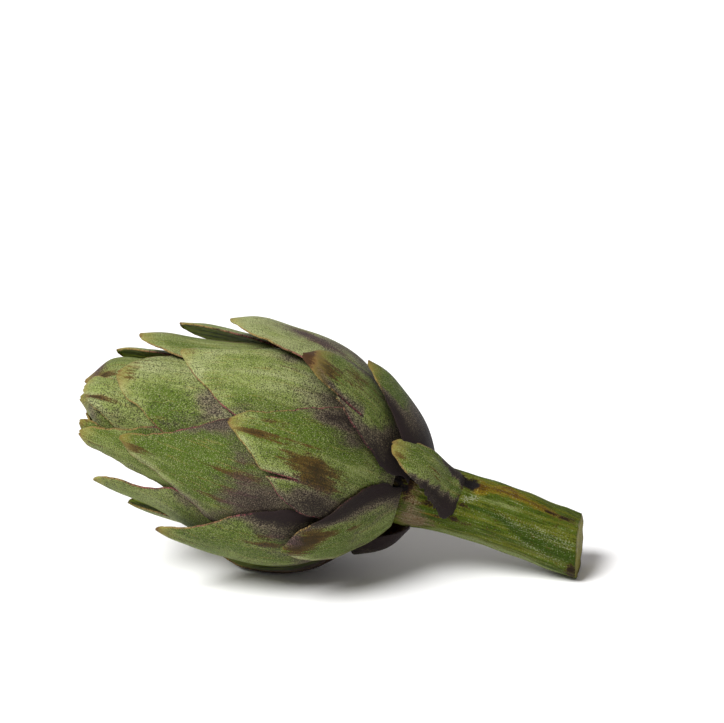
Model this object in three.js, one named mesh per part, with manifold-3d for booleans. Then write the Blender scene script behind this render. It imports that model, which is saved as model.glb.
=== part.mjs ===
// A globe artichoke lying on its side: the head with its overlapping bracts, the short inner bud,
// and the cut stem with one leaf left on it. Millimetres, +Z up, resting on z = 0.
import * as THREE from "three";
import { mergeVertices } from "three/addons/utils/BufferGeometryUtils.js";
import Module from "manifold-3d";

const wasm = await Module();
wasm.setup();

const degree = Math.PI / 180;

// how the head lies
const headTilt = 14.6 * degree;        // the apex is raised by this much
const neckHeight = 32.5;               // height of the point where the head meets the stem
const stemTilt = 18.6 * degree;        // the stem falls away from the neck by this much
const stemSwing = 4 * degree;          // and swings a little sideways
const stemLength = 66.5;
const stemRadius = 12;
const stemRibs = 11;
const stemRibDepth = 0.55;
const cutTurn = 2 * degree;            // the cut across the stem stands upright, turned by this much

// outline of the closed head: distance up its axis from the neck, and radius
const headOutline = [
  [-3, 15.5], [5, 26.5], [16, 36], [29.5, 42], [44, 43.8], [59, 41.8],
  [73.5, 36.8], [87.5, 31], [101.5, 25.8], [114, 18.5], [119.5, 0],
];
// outline of the solid heart, and the line above it that the innermost leaves close round
const heartOutline = [
  [1, 13.4], [11.5, 19.8], [24, 24.6], [34.5, 22], [44.5, 16.5], [57, 13],
  [70, 11.5], [82.5, 10], [94.5, 8], [104.5, 5.5], [108.5, 0],
];
const heartEnd = 0.36;                 // share of that outline that belongs to the heart itself

// bracts are numbered from the outermost, each a golden angle further round than the last
const bractCount = 32;
const budBracts = [35, 36, 37, 38, 39, 40];
const budLayer = 34.4;                 // the closed bud fills everything inside this layer
const budSpan = [0.405, 0.985];
const lastTip = 0.962;                 // no outer bract reaches closer to the apex than this
const goldenAngle = 137.508 * degree;
const firstTurn = 5.5 * degree;
const tipSpread = 5.6;                 // how slowly the tips climb towards the apex
const tipMiddle = 7.62;                // the bract whose tip is halfway up the outline
const layerPitch = 0.75;               // each bract lies this much deeper than the one before,
const footPitch = 0.55;                // and a little closer where the bracts meet the neck
const firstLayer = -2;                 // layer that lies on the outline round the neck
const outlineLength = 152;
const rootGap = 1.25;                  // a bract's foot stops this far above the heart
const blade = {
  middle: 1.35, margin: 0.75, tip: 0.8, foot: 0.95, least: 0.65, rows: 11, budRows: 7, columns: 9,
};
const innerFrom = 25;                  // from here on the bracts are narrower and thinner
const innerBract = { half: 15, tip: 3.4, cup: 0.5 };
const commonBract = {
  turn: 0, reach: 0, half: 18.8, tip: 4.6, shoulder: 30, flare: 0, flareReach: 18,
  lean: 0, cup: 0.9, bow: 0, dip: 0, skew: 0, torn: 0, kept: 0,
};
// what sets single bracts apart: turn and lean in degrees, the rest in mm
const bractTraits = {
  1: { turn: -50, reach: 5, half: 16, tip: 3, flare: 2.4, flareReach: 30, bow: 10.4, dip: 1 },
  2: { turn: 0, reach: 2, half: 17, tip: 3, bow: 8, dip: 0.8 },
  3: { turn: 19, reach: 13, half: 18.2, tip: 4, shoulder: 26, skew: 0.14, torn: 19, kept: 6 },
  5: { turn: 2, reach: -5, half: 21.3, tip: 4, shoulder: 17, flare: 2.6 },
  6: { turn: -3, reach: 26, half: 18, tip: 3.5, flare: 6, flareReach: 45 },
  7: { turn: 16, reach: 2, half: 17.1, tip: 3.2, flare: 3.9, flareReach: 40 },
  8: { turn: 4, reach: 5, half: 18.4, tip: 3.5, skew: 0.13, torn: 17, kept: 12 },
  10: { turn: 12, reach: 5, half: 19.6, tip: 3, flare: 5, skew: -0.16 },
  11: { turn: -1, reach: 8, half: 21 },
  13: { turn: 10, reach: 8, half: 18, tip: 3 },
  14: { turn: -8, reach: -6, flare: 6 },
  15: { turn: 25, reach: 5, half: 19.5, flare: 4 },
  16: { turn: 8, reach: 4, tip: 5.6, half: 18.4, lean: 5 },
  18: { turn: 16, reach: 4, half: 17.5, flare: 1 },
  19: { turn: -2, reach: -12, flare: 6 },
  20: { turn: 31, reach: -13, half: 17, flare: 6 },
  21: { turn: 12, reach: 0, lean: 12 },
  22: { turn: -22, reach: -8, half: 17, flare: 7 },
  23: { turn: 9, reach: -2, half: 17.5, flare: 2 },
  24: { flare: 2, tip: 5.2, half: 17.5 },
  26: { lean: 12, tip: 4.6 },
};

// leaf left on the stem
const stemLeaf = {
  from: 25, fromTurn: 60 * degree, rise: 1.3,
  toAxis: 8, toRadius: 30.5, toTurn: 51 * degree,
  half: 7.6, tip: 3, fold: 2.6, middle: 1.5, margin: 0.8, rows: 9, columns: 7,
};

const colours = {
  bract: "#728a4c", basal: "#5c5a45", bud: "#8b9a58", stem: "#8a9a45", stemLeaf: "#6a7346",
};

const headAxis = new THREE.Vector3(-Math.cos(headTilt), 0, Math.sin(headTilt));
const headFront = new THREE.Vector3(0, -1, 0);
const headAbove = new THREE.Vector3(Math.sin(headTilt), 0, Math.cos(headTilt));
const neck = new THREE.Vector3(0, 0, neckHeight);
const stemWay = new THREE.Vector3(
  Math.cos(stemTilt) * Math.cos(stemSwing),
  Math.cos(stemTilt) * Math.sin(stemSwing),
  -Math.sin(stemTilt),
);

const toCurve = (points) => new THREE.SplineCurve(points.map(([along, out]) => new THREE.Vector2(along, out)));
const headCurve = toCurve(headOutline);
const heartCurve = toCurve(heartOutline);

const clamp = (value, low, high) => Math.min(Math.max(value, low), high);

function smooth(value) {
  const x = clamp(value, 0, 1);
  return x * x * (3 - 2 * x);
}

// place given by distance up the head's axis, radius and turn about the axis
function headPoint(along, radius, turn) {
  return neck.clone()
    .addScaledVector(headAxis, along)
    .addScaledVector(headFront, radius * Math.cos(turn))
    .addScaledVector(headAbove, radius * Math.sin(turn));
}

const tipPlace = (number) => 1 / (1 + Math.exp(-(number - tipMiddle) / tipSpread));

// number of the bract that lies outermost at a place on the head's outline
function outermost(place) {
  const t = clamp(place, 0.001, 0.999);
  const number = tipSpread * Math.log(t / (1 - t)) + tipMiddle;
  return firstLayer + 1.5 * Math.log(1 + Math.exp((number - firstLayer) / 1.5));
}

function outwardAt(place) {
  const before = headCurve.getPoint(Math.max(place - 0.001, 0));
  const after = headCurve.getPoint(Math.min(place + 0.001, 1));
  return new THREE.Vector2(before.y - after.y, after.x - before.x).normalize();
}

// middle line of a bract at a place on the outline, below the outline by its own layer depth
function spinePoint(number, place) {
  const skin = headCurve.getPoint(place);
  const heart = heartCurve.getPoint(place);
  const room = skin.distanceTo(heart);
  const pitch = footPitch + (layerPitch - footPitch) * smooth((place - 0.04) / 0.12);
  const depth = Math.max(pitch * (number - outermost(place)), -1.5);
  return { point: skin.lerp(heart, depth / room), room, depth };
}

// stations along a bract from root to tip, evenly spaced and closer near the tip
function spineStations(number, traits, rows) {
  const furthest = number > bractCount ? 0.982 : lastTip;
  const last = Math.min(furthest, tipPlace(number) + traits.reach / outlineLength);
  const lowest = number > bractCount ? 0.72 : 0;
  let root = last;
  while (root > lowest) {
    const { room, depth } = spinePoint(number, root);
    if (depth > room - rootGap) break;
    root -= 0.002;
  }
  root = Math.max(root, lowest);
  const steps = 160;
  const places = [];
  const lengths = [];
  let previous = null;
  let run = 0;
  for (let i = 0; i <= steps; i += 1) {
    const place = root + (last - root) * i / steps;
    const point = spinePoint(number, place).point;
    if (previous) run += point.distanceTo(previous);
    places.push(place);
    lengths.push(run);
    previous = point;
  }
  const stations = [];
  for (let row = 0; row < rows; row += 1) {
    const wanted = run * Math.pow(row / (rows - 1), 0.9);
    let i = 1;
    while (i < steps && lengths[i] < wanted) i += 1;
    const share = (wanted - lengths[i - 1]) / (lengths[i] - lengths[i - 1]);
    const place = places[i - 1] + (places[i] - places[i - 1]) * share;
    stations.push({ place, fromRoot: wanted, fromTip: run - wanted });
  }
  return stations;
}

// half width of a bract on one side: blunt tip, hollow shoulder, full middle, narrower foot
function halfWidth(traits, fromTip, fromRoot, footLength, side) {
  const { tip, shoulder, torn, kept } = traits;
  const half = traits.half * (1 - traits.skew * Math.sign(side));
  const blunt = tip * (1 - Math.exp(-(fromTip + 0.7) / 1.2));
  let width = blunt + (half - tip) * smooth((fromTip - 2) / shoulder);
  if (torn > 0 && side < 0) {
    const flap = kept + 2.2 + (half - kept - 2.2) * smooth((fromTip - torn) / 20);
    width = fromTip < torn ? Math.min(width, kept) : flap;
  }
  return width * (1 - 0.4 * (1 - smooth(fromRoot / footLength)));
}

function bractGrid(number) {
  const traits = {
    ...commonBract,
    ...(number >= innerFrom ? innerBract : {}),
    ...(bractTraits[number] ?? {}),
  };
  const thinner = number >= innerFrom ? 0.72 : 1;
  const rows = number > bractCount ? blade.budRows : blade.rows;
  const stations = spineStations(number, traits, rows);
  const footLength = clamp(stations.at(-1).fromRoot - 18, 18, 45);
  const grid = [];
  for (const { place, fromRoot, fromTip } of stations) {
    const { point } = spinePoint(number, place);
    const outward = outwardAt(place);
    point.addScaledVector(outward, traits.flare * Math.pow(smooth((traits.flareReach - fromTip) / traits.flareReach), 1.5));
    point.x -= traits.bow * (1 - smooth(fromRoot / 26));
    point.y -= traits.dip * (1 - smooth(fromRoot / 9));
    const middle = firstTurn + goldenAngle * number + traits.turn * degree
      + traits.lean * degree * smooth((25 - fromTip) / 25);
    const row = [];
    for (let column = 0; column < blade.columns; column += 1) {
      const side = 2 * column / (blade.columns - 1) - 1;
      const width = halfWidth(traits, fromTip, fromRoot, footLength, side);
      const wrap = Math.min(width / Math.max(point.y, 1), 75 * degree);
      const cup = traits.cup * side * side * smooth((fromRoot + 1) / 12);
      const along = point.x - outward.x * cup;
      const radius = Math.max(point.y - outward.y * cup, 0.5);
      row.push({
        place: headPoint(along, radius, middle + side * wrap),
        outside: headPoint(along + 5 * outward.x, radius + 5 * Math.max(outward.y, 0.2), middle + side * wrap),
        thick: Math.max(thickness(side, fromTip, fromRoot) * thinner, blade.least),
      });
    }
    grid.push(row);
  }
  return grid;
}

function thickness(side, fromTip, fromRoot) {
  const middle = blade.foot + (blade.middle - blade.foot) * smooth((fromRoot - 4) / 14);
  const across = blade.margin + (middle - blade.margin) * (1 - side * side);
  return blade.tip + (across - blade.tip) * smooth((fromTip + 1) / 12);
}

// turns a grid of middle points into a closed thin solid; where it would sink below the
// surface it lies on, both faces are pressed up together
function bladeSolid(grid) {
  const rows = grid.length;
  const columns = grid[0].length;
  const faces = [[], []];
  for (let r = 0; r < rows; r += 1) {
    for (let c = 0; c < columns; c += 1) {
      const down = grid[Math.max(r - 1, 0)][c].place;
      const up = grid[Math.min(r + 1, rows - 1)][c].place;
      const left = grid[r][Math.max(c - 1, 0)].place;
      const right = grid[r][Math.min(c + 1, columns - 1)].place;
      const normal = up.clone().sub(down).cross(right.clone().sub(left)).normalize();
      const here = grid[r][c];
      if (normal.dot(here.outside.clone().sub(here.place)) < 0) normal.negate();
      const outer = here.place.clone().addScaledVector(normal, here.thick / 2);
      const inner = here.place.clone().addScaledVector(normal, -here.thick / 2);
      const pressed = Math.max(0, -Math.min(outer.z, inner.z));
      outer.z += pressed;
      inner.z += pressed;
      faces[0].push(outer);
      faces[1].push(inner);
    }
  }
  const positions = [...faces[0], ...faces[1]].flatMap((p) => [p.x, p.y, p.z]);
  const count = rows * columns;
  const at = (face, r, c) => face * count + r * columns + c;
  const index = [];
  const quad = (a, b, c, d) => index.push(a, b, c, a, c, d);
  for (let r = 0; r < rows - 1; r += 1) {
    for (let c = 0; c < columns - 1; c += 1) {
      const corners = [[r, c], [r, c + 1], [r + 1, c + 1], [r + 1, c]];
      quad(...corners.map(([i, j]) => at(0, i, j)));
      index.push(at(1, ...corners[0]), at(1, ...corners[2]), at(1, ...corners[1]));
      index.push(at(1, ...corners[0]), at(1, ...corners[3]), at(1, ...corners[2]));
    }
  }
  for (let r = 0; r < rows - 1; r += 1) {
    quad(at(0, r, 0), at(0, r + 1, 0), at(1, r + 1, 0), at(1, r, 0));
    quad(at(0, r + 1, columns - 1), at(0, r, columns - 1), at(1, r, columns - 1), at(1, r + 1, columns - 1));
  }
  for (let c = 0; c < columns - 1; c += 1) {
    quad(at(0, 0, c + 1), at(0, 0, c), at(1, 0, c), at(1, 0, c + 1));
    quad(at(0, rows - 1, c), at(0, rows - 1, c + 1), at(1, rows - 1, c + 1), at(1, rows - 1, c));
  }
  return closedGeometry(positions, index);
}

// welds the corners and turns the faces outward if the volume comes out negative
function closedGeometry(positions, index) {
  const bare = new THREE.BufferGeometry();
  bare.setAttribute("position", new THREE.Float32BufferAttribute(positions, 3));
  bare.setIndex(index);
  const welded = mergeVertices(bare, 0.001);
  const spots = welded.getAttribute("position");
  const corner = (i) => new THREE.Vector3().fromBufferAttribute(spots, i);
  const kept = [];
  let volume = 0;
  for (let i = 0; i < welded.index.count; i += 3) {
    const [a, b, c] = [0, 1, 2].map((k) => welded.index.getX(i + k));
    if (a === b || b === c || a === c) continue;
    volume += corner(a).dot(corner(b).cross(corner(c)));
    kept.push([a, b, c]);
  }
  welded.setIndex(kept.flatMap(([a, b, c]) => (volume < 0 ? [a, c, b] : [a, b, c])));
  return welded;
}

// rings of points joined into a closed tube with flat ends
function tubeSolid(rings) {
  const around = rings[0].length;
  const positions = rings.flat().flatMap((p) => [p.x, p.y, Math.max(p.z, 0)]);
  const index = [];
  for (let r = 0; r < rings.length - 1; r += 1) {
    for (let i = 0; i < around; i += 1) {
      const j = (i + 1) % around;
      const a = r * around + i;
      const b = r * around + j;
      index.push(a, b, b + around, a, b + around, a + around);
    }
  }
  for (const [ring, first] of [[rings[0], 0], [rings.at(-1), (rings.length - 1) * around]]) {
    const middle = new THREE.Vector3();
    ring.forEach((p) => middle.addScaledVector(p, 1 / around));
    const hub = positions.length / 3;
    positions.push(middle.x, middle.y, middle.z);
    for (let i = 0; i < around; i += 1) {
      const j = (i + 1) % around;
      if (first === 0) index.push(hub, first + j, first + i);
      else index.push(hub, first + i, first + j);
    }
  }
  return closedGeometry(positions, index);
}

// the stem and the heart it widens into, as one ribbed solid with an upright cut at its end
function stemGeometry() {
  const around = stemRibs * 4;
  const rings = [];
  const ring = (centre, front, above, radius, rib) => {
    const points = [];
    for (let i = 0; i < around; i += 1) {
      const turn = 2 * Math.PI * i / around;
      const reach = radius + rib * (Math.cos(turn * stemRibs) - 1) / 2;
      points.push(centre.clone()
        .addScaledVector(front, reach * Math.cos(turn))
        .addScaledVector(above, reach * Math.sin(turn)));
    }
    rings.push(points);
  };
  for (let step = 0; step <= 10; step += 1) {
    const place = heartEnd * (1 - step / 10);
    const spot = heartCurve.getPoint(place);
    ring(neck.clone().addScaledVector(headAxis, spot.x), headFront, headAbove, spot.y, 0);
  }
  for (const [along, radius] of [[-1.5, 12.5], [-4, 12.2]]) {
    ring(neck.clone().addScaledVector(headAxis, along), headFront, headAbove, radius, 0.2);
  }
  const stemFront = headFront.clone().addScaledVector(stemWay, -headFront.dot(stemWay)).normalize();
  const stemAbove = new THREE.Vector3().crossVectors(stemWay, stemFront).negate().normalize();
  if (stemAbove.z < 0) stemAbove.negate();
  const runs = [8, 14, 22, 31, 40, 49, 58, stemLength];
  for (const run of runs) {
    const radius = stemRadius + 0.5 * smooth((12 - run) / 10) - 0.25 * smooth((run - 30) / 20);
    ring(neck.clone().addScaledVector(stemWay, run), stemFront, stemAbove, radius, stemRibDepth);
  }
  const cutNormal = new THREE.Vector3(Math.cos(cutTurn), -Math.sin(cutTurn), 0);
  const cutPoint = neck.clone().addScaledVector(stemWay, stemLength);
  for (const point of rings.at(-1)) {
    const slide = cutPoint.clone().sub(point).dot(cutNormal) / stemWay.dot(cutNormal);
    point.addScaledVector(stemWay, slide);
  }
  return tubeSolid(rings);
}

function toManifold(geometry) {
  return new wasm.Manifold(new wasm.Mesh({
    numProp: 3,
    vertProperties: new Float32Array(geometry.getAttribute("position").array),
    triVerts: new Uint32Array(geometry.index.array),
  }));
}

// the closed bud of young leaves, hollowed a little at its top, with the last small bracts
// grown onto it
function budGeometry() {
  const around = 24;
  const rings = [];
  const steps = 12;
  for (let step = 0; step <= steps; step += 1) {
    const place = budSpan[0] + (budSpan[1] - budSpan[0]) * step / steps;
    const layer = budLayer + 8 * smooth((place - 0.9) / 0.085);
    const spot = spinePoint(layer, place).point;
    const points = [];
    for (let i = 0; i < around; i += 1) {
      points.push(headPoint(spot.x, Math.max(spot.y, 0.8), 2 * Math.PI * i / around));
    }
    rings.push(points);
  }
  let body = toManifold(tubeSolid(rings));
  for (const number of budBracts) {
    body = body.add(toManifold(bladeSolid(bractGrid(number))));
  }
  const mesh = body.getMesh();
  return closedGeometry(Array.from(mesh.vertProperties), Array.from(mesh.triVerts));
}

// a short keeled leaf that leaves the stem and leans towards the head
function stemLeafGeometry() {
  const { from, fromTurn, rise, toAxis, toRadius, toTurn, half, tip, fold, middle, margin } = stemLeaf;
  const foot = neck.clone()
    .addScaledVector(stemWay, from)
    .addScaledVector(headFront, (stemRadius + rise) * Math.cos(fromTurn))
    .addScaledVector(headAbove, (stemRadius + rise) * Math.sin(fromTurn));
  const end = headPoint(toAxis, toRadius, toTurn);
  const way = end.clone().sub(foot);
  const run = way.length();
  way.normalize();
  const outward = headFront.clone().multiplyScalar(Math.cos(fromTurn))
    .addScaledVector(headAbove, Math.sin(fromTurn));
  outward.addScaledVector(way, -outward.dot(way)).normalize();
  const sideways = new THREE.Vector3().crossVectors(outward, way);
  const grid = [];
  for (let r = 0; r < stemLeaf.rows; r += 1) {
    const share = r / (stemLeaf.rows - 1);
    const fromTip = run * (1 - share);
    const width = tip * (1 - Math.exp(-(fromTip + 0.7) / 1.2)) + (half - tip) * smooth((fromTip - 1) / 18);
    const row = [];
    for (let c = 0; c < stemLeaf.columns; c += 1) {
      const side = 2 * c / (stemLeaf.columns - 1) - 1;
      const place = foot.clone()
        .addScaledVector(way, run * share)
        .addScaledVector(outward, 1.6 * Math.sin(Math.PI * share) - fold * side * side * (1 - 0.5 * share))
        .addScaledVector(sideways, width * side);
      const thick = margin + (middle - margin) * (1 - side * side) * smooth((fromTip + 2) / 8);
      row.push({ place, outside: place.clone().add(outward), thick });
    }
    grid.push(row);
  }
  return bladeSolid(grid);
}

const group = new THREE.Group();
group.name = "artichoke";

function addPiece(name, geometry, colour) {
  const material = new THREE.MeshStandardMaterial({ color: colour, roughness: 0.62, metalness: 0 });
  const mesh = new THREE.Mesh(geometry, material);
  mesh.name = name;
  group.add(mesh);
}

for (let number = 1; number <= bractCount; number += 1) {
  const name = `bract_${String(number).padStart(2, "0")}`;
  addPiece(name, bladeSolid(bractGrid(number)), number < 3 ? colours.basal : colours.bract);
}
addPiece("bud", budGeometry(), colours.bud);
addPiece("stem", stemGeometry(), colours.stem);
addPiece("stem_leaf", stemLeafGeometry(), colours.stemLeaf);

// the origin is put under the middle of the whole
const box = new THREE.Box3().setFromObject(group);
const shiftX = -(box.min.x + box.max.x) / 2;
const shiftY = -(box.min.y + box.max.y) / 2;
group.children.forEach((mesh) => mesh.geometry.translate(shiftX, shiftY, 0));

export default group;
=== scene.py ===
import math

import bpy
import numpy as np
from mathutils import Matrix, Vector


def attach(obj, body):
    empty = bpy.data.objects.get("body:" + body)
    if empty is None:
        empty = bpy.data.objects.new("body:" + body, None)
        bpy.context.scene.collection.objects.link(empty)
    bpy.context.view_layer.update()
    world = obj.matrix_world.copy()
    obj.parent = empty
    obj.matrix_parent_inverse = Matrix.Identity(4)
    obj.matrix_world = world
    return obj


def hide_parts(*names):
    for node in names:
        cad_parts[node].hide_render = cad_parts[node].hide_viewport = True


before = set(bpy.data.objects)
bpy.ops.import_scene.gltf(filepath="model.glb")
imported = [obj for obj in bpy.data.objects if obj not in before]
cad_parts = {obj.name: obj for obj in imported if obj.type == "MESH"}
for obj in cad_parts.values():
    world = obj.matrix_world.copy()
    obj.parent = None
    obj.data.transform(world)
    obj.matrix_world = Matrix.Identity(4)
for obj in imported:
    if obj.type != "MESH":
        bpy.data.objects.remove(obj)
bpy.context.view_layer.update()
print("frame loaded:", len(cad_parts), "nodes")

# camera

cameraView = {
    "azimuth": 5.0,  # degrees round the object, 0 looks along +Y
    "elevation": 20.0, "distance": 0.95, "lens": 132.3, "sensor": 36, "nearest": 0.05,
    "lookAcross": -0.0150,  # where the middle of the view falls, measured from the neck
    "lookUp": 0.0448,
}

# how the head lies, in mm and degrees: the neck is the point where the head meets the stem
lie = {"neck": (26.865, -0.216, 32.5), "headTilt": 14.6, "stemTilt": 18.6, "stemSwing": 4.0}
degree = math.pi / 180
neck = np.array(lie["neck"])
headTilt, stemTilt, stemSwing = (lie[angle] * degree for angle in ("headTilt", "stemTilt", "stemSwing"))
headAxis = np.array([-math.cos(headTilt), 0, math.sin(headTilt)])
headFront = np.array([0.0, -1.0, 0.0])
headAbove = np.array([math.sin(headTilt), 0, math.cos(headTilt)])
stemWay = np.array([
    math.cos(stemTilt) * math.cos(stemSwing),
    math.cos(stemTilt) * math.sin(stemSwing),
    -math.sin(stemTilt),
])


def putObject(name, data):
    thing = bpy.data.objects.new(name, data)
    bpy.context.scene.collection.objects.link(thing)
    return thing


def makeCamera():
    az, el = cameraView["azimuth"] * degree, cameraView["elevation"] * degree
    toward = Vector((math.sin(az) * math.cos(el), -math.cos(az) * math.cos(el), math.sin(el)))
    across = Vector((math.cos(az), math.sin(az), 0))
    upward = toward.cross(across)
    target = Vector(neck / 1000) + across * cameraView["lookAcross"] + upward * cameraView["lookUp"]
    data = bpy.data.cameras.new("camera")
    data.lens = cameraView["lens"]
    data.sensor_width = cameraView["sensor"]
    data.clip_start = cameraView["nearest"]
    camera = putObject("camera", data)
    turn = Matrix((across, upward, toward)).transposed().to_4x4()
    camera.matrix_world = Matrix.Translation(target + toward * cameraView["distance"]) @ turn
    bpy.context.scene.camera = camera


makeCamera()

# shapes shared by all leaves

floorGap = 0.02  # mm kept between any skin and the floor
rimReach = 0.45  # how far the rim stands out, as a share of the thickness


def smooth(value):
    x = np.clip(value, 0, 1)
    return x * x * (3 - 2 * x)


def bell(offset, width):
    return np.exp(-(offset / width) ** 2)


def between(start, finish, share):
    return start + (finish - start) * share


def unit(vector):
    return vector / np.maximum(np.linalg.norm(vector, axis=-1, keepdims=True), 1e-9)


def valueAt(place, table):
    return np.interp(place, list(table), list(table.values()))


def alongCurve(points, place):
    # Catmull-Rom curve through the points, the whole of it run over place 0 to 1
    points = np.array(points, float)
    last = len(points) - 1
    spot = np.clip(np.asarray(place, float), 0, 1) * last
    i = np.minimum(np.floor(spot).astype(int), last - 1)
    w = (spot - i)[..., None]
    a, b = points[np.maximum(i - 1, 0)], points[i]
    c, d = points[np.minimum(i + 1, last)], points[np.minimum(i + 2, last)]
    goB, goC = (c - a) / 2, (d - b) / 2
    return (2 * b - 2 * c + goB + goC) * w**3 + (-3 * b + 3 * c - 2 * goB - goC) * w**2 + goB * w + b


def roundAxis(radius, turn, front, above):
    return radius[..., None] * (np.cos(turn)[..., None] * front + np.sin(turn)[..., None] * above)


def headPoint(along, radius, turn):
    along, radius, turn = np.broadcast_arrays(along, radius, turn)
    return neck + along[..., None] * headAxis + roundAxis(radius, turn, headFront, headAbove)


def wander(draw, x, waves):
    # a gentle random line of a few waves: size and height of each in mm, phases drawn
    total = 0
    for size, height in waves:
        total += height * np.sin(2 * math.pi * np.asarray(x) / size + draw.uniform(0, 2 * math.pi))
    return total


def patchSum(along, across, patches):
    # soft patches added up: place along and across, length, width and strength of each
    total = np.zeros(np.broadcast(along, across).shape)
    for spot, side, length, width, strength in patches:
        total += strength * np.exp(-((along - spot) / length) ** 2 - ((across - side) / width) ** 2)
    return total


def gridFaces(index):
    return np.stack([index[:-1, :-1], index[:-1, 1:], index[1:, 1:], index[1:, :-1]], axis=-1)


def ringFaces(rings, around):
    index = np.arange(rings * around).reshape(rings, around)
    closed = np.concatenate([index, index[:, :1]], axis=1)
    return gridFaces(closed).reshape(-1, 4).tolist()


def leafPlace(across, along, layer):
    # where the noises are read, in mm: over the flattened leaf, each leaf in a layer of its own
    return np.stack([across, along, np.full(len(across), layer)], axis=1)


def vertexNormals(points, faces):
    corners = points[faces]
    faceNormal = np.cross(corners[:, 2] - corners[:, 0], corners[:, 3] - corners[:, 1])
    normals = np.zeros_like(points)
    for k in range(4):
        np.add.at(normals, faces[:, k], faceNormal)
    return unit(normals)


def spread(values, count):
    # a mark given as one number holds all over the piece
    return np.full(count, float(values)) if np.ndim(values) == 0 else np.asarray(values, float)


def makeMesh(name, points, faces, marks, material):
    mesh = bpy.data.meshes.new(name)
    mesh.from_pydata((points / 1000).tolist(), [], [list(f) for f in faces])
    for mark, values in marks.items():
        values = spread(values, len(points))
        kind, field = ("FLOAT_VECTOR", "vector") if values.ndim == 2 else ("FLOAT", "value")
        mesh.attributes.new(mark, kind, "POINT").data.foreach_set(field, values.ravel())
    mesh.polygons.foreach_set("use_smooth", [True] * len(mesh.polygons))
    mesh.update()
    mesh.materials.append(material)
    return putObject(name, mesh)


def makeBlade(name, points, faces, outside, thick, marks, material):
    # a leaf with two faces and a rounded rim: points lie in the middle of its thickness
    normals = vertexNormals(points, faces)
    if np.mean(np.sum(normals * outside, axis=1)) < 0:
        normals = -normals
        faces = faces[:, ::-1]
    outer = points + normals * thick[:, None] / 2
    inner = points - normals * thick[:, None] / 2
    pressed = np.maximum(0, floorGap - np.minimum(outer[:, 2], inner[:, 2]))
    outer[:, 2] += pressed
    inner[:, 2] += pressed
    count = len(points)

    # the rim follows the edges that have a face on one side only
    rim = set()
    pull = np.zeros_like(points)
    for face in faces.tolist():
        middle = points[face].mean(axis=0)
        for v, after in zip(face, face[1:] + face[:1]):
            pull[v] += points[v] - middle
            if (after, v) in rim:
                rim.remove((after, v))
            else:
                rim.add((v, after))
    rimSpots = list(dict.fromkeys(np.ravel(sorted(rim)).tolist()))
    rimOf = {v: 2 * count + k for k, v in enumerate(rimSpots)}
    rimPoints = (outer + inner)[rimSpots] / 2 + unit(pull[rimSpots]) * thick[rimSpots, None] * rimReach
    rimPoints[:, 2] = np.maximum(rimPoints[:, 2], floorGap)
    allFaces = faces.tolist() + (faces[:, ::-1] + count).tolist()
    for a, b in sorted(rim):
        allFaces.append([b, a, rimOf[a], rimOf[b]])
        allFaces.append([rimOf[b], rimOf[a], a + count, b + count])
    allMarks = {"innerFace": np.concatenate([np.zeros(count), np.ones(count), np.full(len(rimSpots), 0.3)])}
    for mark, values in marks.items():
        values = spread(values, count)
        allMarks[mark] = np.concatenate([values, values, values[rimSpots]])
    return makeMesh(name, np.concatenate([outer, inner, rimPoints]), allFaces, allMarks, material)


# materials


def colour(code):
    # sRGB hex to the linear values that Blender works in
    parts = [int(code[i:i + 2], 16) / 255 for i in (1, 3, 5)]
    return tuple(p / 12.92 if p <= 0.04045 else ((p + 0.055) / 1.055) ** 2.4 for p in parts) + (1,)


def add(tree, kind, inputs, settings=None, output=0):
    # one node with its settings; each input is given a socket to link or a value to hold
    node = tree.nodes.new(kind)
    for name, value in (settings or {}).items():
        setattr(node, name, value)
    for name, value in inputs.items():
        if isinstance(value, bpy.types.NodeSocket):
            tree.links.new(value, node.inputs[name])
        else:
            node.inputs[name].default_value = value
    return node.outputs[output] if node.outputs else node


def startMaterial(name):
    material = bpy.data.materials.new(name)
    material.use_nodes = True
    material.node_tree.nodes.clear()
    return material, material.node_tree


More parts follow.
